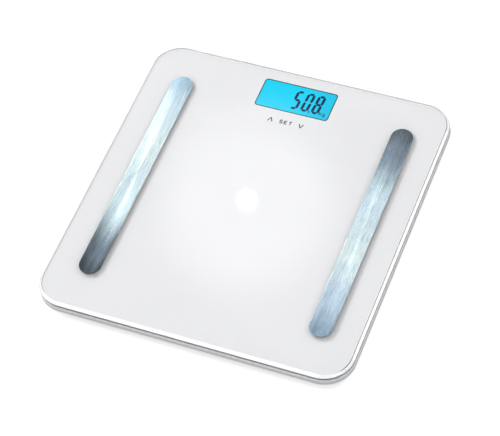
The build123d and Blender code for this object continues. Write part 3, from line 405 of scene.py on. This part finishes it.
white_abs = moulded_plastic("white_abs", *WHITE, roughness=0.3, grain=1500.0, grain_depth=0.06, coat=0.25)
# the tray gets painted shade low on its wall and a painted highlight at its rim
tray_abs = moulded_plastic("tray_abs", *WHITE, roughness=0.3, grain=1500.0, grain_depth=0.06, coat=0.25,
                           painted_shade_heights=(base_low.z, base_high.z))
grey_abs = moulded_plastic("grey_abs", (0.42, 0.43, 0.45), (0.36, 0.37, 0.39))
black_abs = moulded_plastic("black_abs", (0.03, 0.03, 0.034), (0.02, 0.02, 0.022))
nylon = moulded_plastic("ivory_nylon", (0.80, 0.76, 0.66), (0.74, 0.70, 0.60), 0.5)
foam = moulded_plastic("acrylic_foam", (0.035, 0.036, 0.038), (0.022, 0.023, 0.025), 0.8, 700.0, 0.5)
silicone = moulded_plastic("silicone", (0.82, 0.82, 0.80), (0.76, 0.76, 0.74), 0.45, 300.0, 0.25)
epoxy = moulded_plastic("moulded_epoxy", (0.035, 0.035, 0.035), (0.02, 0.02, 0.02), 0.5, 2200.0, 0.3)
tin = plated_metal("tinned_brass", (0.78, 0.76, 0.70))
zinc = plated_metal("zinc_plate", (0.66, 0.67, 0.66), 0.3)
nickel = plated_metal("nickel_plate", (0.74, 0.71, 0.66), 0.2)
cell_steel = plated_metal("cell_steel", (0.60, 0.60, 0.59), 0.34)

PLAIN = {
    "glass_platform": clear_glass(),
    "glass_back_print": white_print(),
    "display_border": printed_ink("border_ink", (0.004, 0.035, 0.045), (0.008, 0.06, 0.075)),
    "key_marks": printed_ink("grey_ink", (0.018, 0.019, 0.022), (0.035, 0.036, 0.04)),
    "mounting_tape": foam,
    "electrode_left": brushed_steel("brushed_steel_left", LEFT_PAINTED_REFLECTION, strip_low.y, strip_high.y),
    "electrode_right": brushed_steel("brushed_steel_right", RIGHT_PAINTED_REFLECTION, strip_low.y, strip_high.y),
    "electrode_washers": nylon,
    "ring_terminals": tin,
    "electrode_nuts": zinc,
    "base_housing": tray_abs,
    "gauge_seals": silicone,
    "carrier_screws": zinc,
    "pcb_screws": zinc,
    "main_pcb": pcb_mask(),
    "control_chip": epoxy,
    "pcb_components": epoxy,
    "wire_connectors": nylon,
    "tact_switch": black_abs,
    "touch_springs": nickel,
    "unit_button": grey_abs,
    "lcd_panel": lit_panel(),
    "lcd_segments": printed_ink("crystal_segments", (0.001, 0.012, 0.075), (0.002, 0.02, 0.11)),
    "lcd_backlight": moulded_plastic("light_guide", (0.75, 0.9, 0.94), (0.66, 0.85, 0.9), 0.15),
    "lcd_frame": black_abs,
    "lcd_pins": tin,
    "battery_door": white_abs,
    "battery_cells": battery_jacket(),
    "battery_contacts": nickel,
    "battery_springs": nickel,
    "load_cell_wires": insulated_wire("wire_red", (0.55, 0.03, 0.025)),
    "electrode_wires": insulated_wire("wire_white", (0.72, 0.72, 0.70)),
    "battery_wires": insulated_wire("wire_black", (0.03, 0.03, 0.03)),
    "rating_label": foil_label(),
}
pad_rubber = rubber("pad_rubber", (0.22, 0.225, 0.235))
for corner in CORNERS:
    PLAIN[f"foot_cap_{corner}"] = white_abs
    PLAIN[f"foot_pad_{corner}"] = pad_rubber
    PLAIN[f"load_cell_{corner}"] = cell_steel
    PLAIN[f"cell_carrier_{corner}"] = grey_abs
for node, material in PLAIN.items():
    set_material(node, material)


# Painted shade: a near-black finish for the glass's lower arris and outer wall, in place of the shadow in the seam
# between the glass and the tray
painted_seam_shade = moulded_plastic("glass_edge_painted_shade", (0.032, 0.034, 0.037), (0.022, 0.024, 0.027), 0.5, 2400.0, 0.1)
ARRIS_TOP = glass_low.z + 1.02 * MM
BEVEL_FOOT = glass_low.z + 2.2 * MM
EDGE_BAND = 12 * MM


def on_outline(middle):
    """True near the outer edge of the glass, false at the holes."""
    return max(abs(middle.x) - glass_high.x, abs(middle.y) - glass_high.y) > -EDGE_BAND


# painted seam shade on the down-facing arris and on the outer vertical wall of the glass
paint_faces("glass_platform", painted_seam_shade,
            lambda middle, normal: middle.z < ARRIS_TOP and -0.95 < normal.z < -0.3)
paint_faces("glass_platform", painted_seam_shade,
            lambda middle, normal: middle.z > ARRIS_TOP and abs(normal.z) < 0.1 and on_outline(middle))
# the bevel faces get the whitish painted highlight and the painted crease shade
paint_faces("glass_platform", bevelled_glass(),
            lambda middle, normal: middle.z > BEVEL_FOOT and 0.1 < normal.z < 0.97)
wire_black = PLAIN["battery_wires"]
wire_red = PLAIN["load_cell_wires"]
wire_white = PLAIN["electrode_wires"]
paint_wires("load_cell_wires", (wire_red, wire_white, wire_black))
paint_wires("battery_wires", (wire_black, wire_red))

# ---------------------------------------------------------------- stage
FLOOR_SIZE = 14.0
FLOOR_LIFT = 0.52        # extra brightness of the floor to the camera only, so that it reads as white


def plane(name, size, location, material):
    mesh = bpy.data.meshes.new(name)
    work = bmesh.new()
    bmesh.ops.create_grid(work, x_segments=1, y_segments=1, size=size / 2)
    work.to_mesh(mesh)
    work.free()
    made = bpy.data.objects.new(name, mesh)
    made.location = location
    mesh.materials.append(material)
    bpy.context.scene.collection.objects.link(made)
    return made


def floor_material():
    """Pale floor; light that it bounces back is weaker than what the camera sees of it."""
    m = Nodes("pale_floor")
    fine = m.noise(30.0, 2.0)
    path = m.new("ShaderNodeLightPath")
    lift = m.math("MULTIPLY", path.outputs["Is Camera Ray"], FLOOR_LIFT)
    seen = m.mix((0.94, 0.94, 0.94), (0.92, 0.92, 0.92), fine)
    bounced = m.mix((0.42, 0.42, 0.43), (0.40, 0.40, 0.41), fine)
    colour = m.mix(bounced, seen, path.outputs["Is Camera Ray"])
    shader = m.principled(Base_Color=colour, Roughness=0.9, Emission_Color=(1.0, 1.0, 1.0), Emission_Strength=lift)
    return m.finish(shader.outputs[0])


floor = plane("floor", FLOOR_SIZE, (0, 0, 0), floor_material())


def area_light(name, location, size, power):
    """A square soft light that points at the middle of the scale."""
    data = bpy.data.lights.new(name, "AREA")
    data.shape = "SQUARE"
    data.size = size
    data.energy = power
    made = bpy.data.objects.new(name, data)
    made.location = location
    made.rotation_euler = (-Vector(location)).to_track_quat("-Z", "Y").to_euler()
    bpy.context.scene.collection.objects.link(made)


def studio_world():
    """Even white light, with soft glows high above that the polished glass and its bevel pick up."""
    world = bpy.data.worlds.new("studio")
    world.use_nodes = True
    tree = world.node_tree
    tree.nodes.clear()
    coords = tree.nodes.new("ShaderNodeTexCoord")

    def glow(direction, inner_deg, outer_deg, strength):
        dot = tree.nodes.new("ShaderNodeVectorMath")
        dot.operation = "DOT_PRODUCT"
        dot.inputs[1].default_value = Vector(direction).normalized()
        tree.links.new(coords.outputs["Generated"], dot.inputs[0])
        angle = tree.nodes.new("ShaderNodeMath")
        angle.operation = "ARCCOSINE"
        tree.links.new(dot.outputs["Value"], angle.inputs[0])
        fade = tree.nodes.new("ShaderNodeMapRange")
        fade.interpolation_type = "SMOOTHERSTEP"
        fade.inputs["From Min"].default_value = math.radians(inner_deg)
        fade.inputs["From Max"].default_value = math.radians(outer_deg)
        fade.inputs["To Min"].default_value = strength
        fade.inputs["To Max"].default_value = 0.0
        tree.links.new(angle.outputs[0], fade.inputs["Value"])
        return fade.outputs["Result"]

    total = None
    for glow_values in GLOWS:
        value = glow(*glow_values)
        if total is None:
            total = value
            continue
        add = tree.nodes.new("ShaderNodeMath")
        add.operation = "ADD"
        tree.links.new(total, add.inputs[0])
        tree.links.new(value, add.inputs[1])
        total = add.outputs[0]
    height = tree.nodes.new("ShaderNodeSeparateXYZ")
    tree.links.new(coords.outputs["Generated"], height.inputs[0])
    lift = tree.nodes.new("ShaderNodeMapRange")
    lift.interpolation_type = "SMOOTHSTEP"
    lift.inputs["From Min"].default_value = 0.0
    lift.inputs["From Max"].default_value = 0.75
    lift.inputs["To Min"].default_value = HORIZON_LIGHT
    lift.inputs["To Max"].default_value = ZENITH_LIGHT
    tree.links.new(height.outputs["Z"], lift.inputs["Value"])
    add = tree.nodes.new("ShaderNodeMath")
    add.operation = "ADD"
    tree.links.new(lift.outputs["Result"], add.inputs[1])
    tree.links.new(total, add.inputs[0])
    background = tree.nodes.new("ShaderNodeBackground")
    background.inputs["Color"].default_value = (1.0, 1.0, 1.0, 1)
    tree.links.new(add.outputs[0], background.inputs["Strength"])
    out = tree.nodes.new("ShaderNodeOutputWorld")
    tree.links.new(background.outputs[0], out.inputs["Surface"])
    bpy.context.scene.world = world


HORIZON_LIGHT = 0.50
ZENITH_LIGHT = 0.61
FACE_MIRROR = (-0.291, 0.526, 0.799)     # where the flat face reflects from
GLOWS = (                                # direction, inner and outer angle in degrees, added strength
    (FACE_MIRROR, 1.1, 3.7, 2.35),       # wide glow on the face
    (FACE_MIRROR, 0.14, 0.34, 38.0),     # white spot in its middle
    (FACE_MIRROR, 5.5, 11.0, -1.08),     # darker ring that keeps glare off the display
    (FACE_MIRROR, 14.0, 34.0, 0.65),
    ((-0.29, -0.305, 0.907), 4.0, 12.0, 4.5),    # front bevel
    ((0.312, -0.077, 0.947), 4.0, 14.0, 4.5),    # front right corner
    ((0.45, 0.526, 0.722), 4.0, 12.0, 4.5),      # right bevel
    ((-0.72, -0.10, 0.68), 4.0, 16.0, 3.0),      # front left corner
)
studio_world()
bpy.context.scene.view_settings.view_transform = "Standard"

area_light("key", (-3.0, 1.5, 3.0), size=1.1, power=84.0)

# ---------------------------------------------------------------- camera
CAMERA_FROM_TOP = Vector((0.5278, -0.9546, 1.4513))
CAMERA_TURN = (36.065, 5.6506, 21.262)
LENS = 143.7

camera_data = bpy.data.cameras.new("camera")
camera_data.sensor_width = 36.0
camera_data.lens = LENS
camera_data.clip_end = 100.0
camera = bpy.data.objects.new("camera", camera_data)
camera.location = Vector((0, 0, TOP_Z)) + CAMERA_FROM_TOP
camera.rotation_euler = Euler([math.radians(a) for a in CAMERA_TURN], "XYZ")
bpy.context.scene.collection.objects.link(camera)
bpy.context.scene.camera = camera
